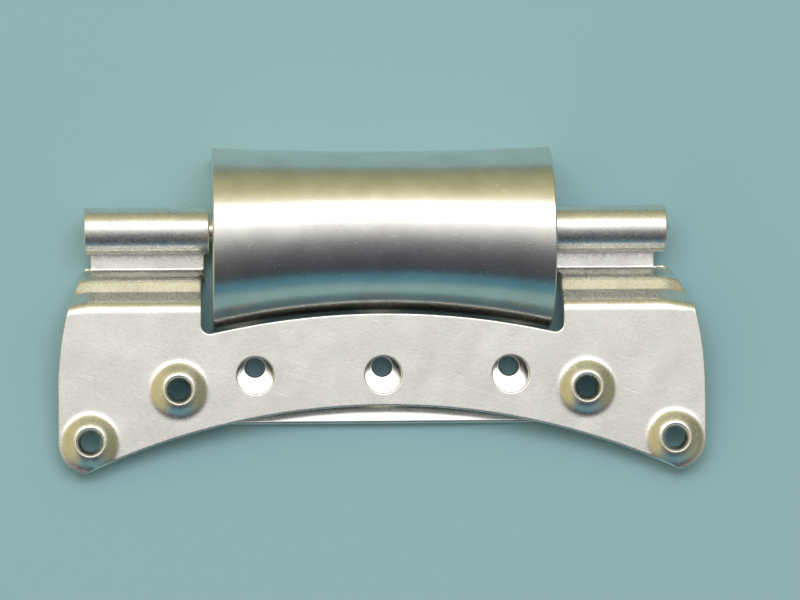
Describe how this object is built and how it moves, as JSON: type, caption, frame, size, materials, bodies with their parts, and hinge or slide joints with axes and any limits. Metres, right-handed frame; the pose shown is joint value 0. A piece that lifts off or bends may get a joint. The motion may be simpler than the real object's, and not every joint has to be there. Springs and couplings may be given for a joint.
{
  "type": "hinge",
  "caption": "Pressed steel door hinge: arched door leaf with rolled knuckles, cabinet leaf with waisted hood over the pin.",
  "frame": {"origin": "middle screw hole of the cabinet leaf, at its back face", "axes": "+X along the pin, +Y from the cabinet screws towards the pin, +Z out of the cabinet"},
  "size_m": [0.138, 0.0697, 0.0264],
  "materials": {
    "cabinet_steel": "bright zinc plate, finely scratched",
    "door_steel": "bright zinc plate, mottled and scratched",
    "pin_steel": "drawn bright steel"
  },
  "bodies": {
    "cabinet": {"cabinet_leaf": "cabinet_steel"},
    "door": {"door_leaf": "door_steel", "hinge_pin": "pin_steel"}
  },
  "joints": [
    {"name": "door_swing", "type": "hinge", "parent": "cabinet", "child": "door", "pos_m": [0, 0.029, 0.0068], "axis": [-1, 0, 0], "range_deg": [0, 165]}
  ]
}
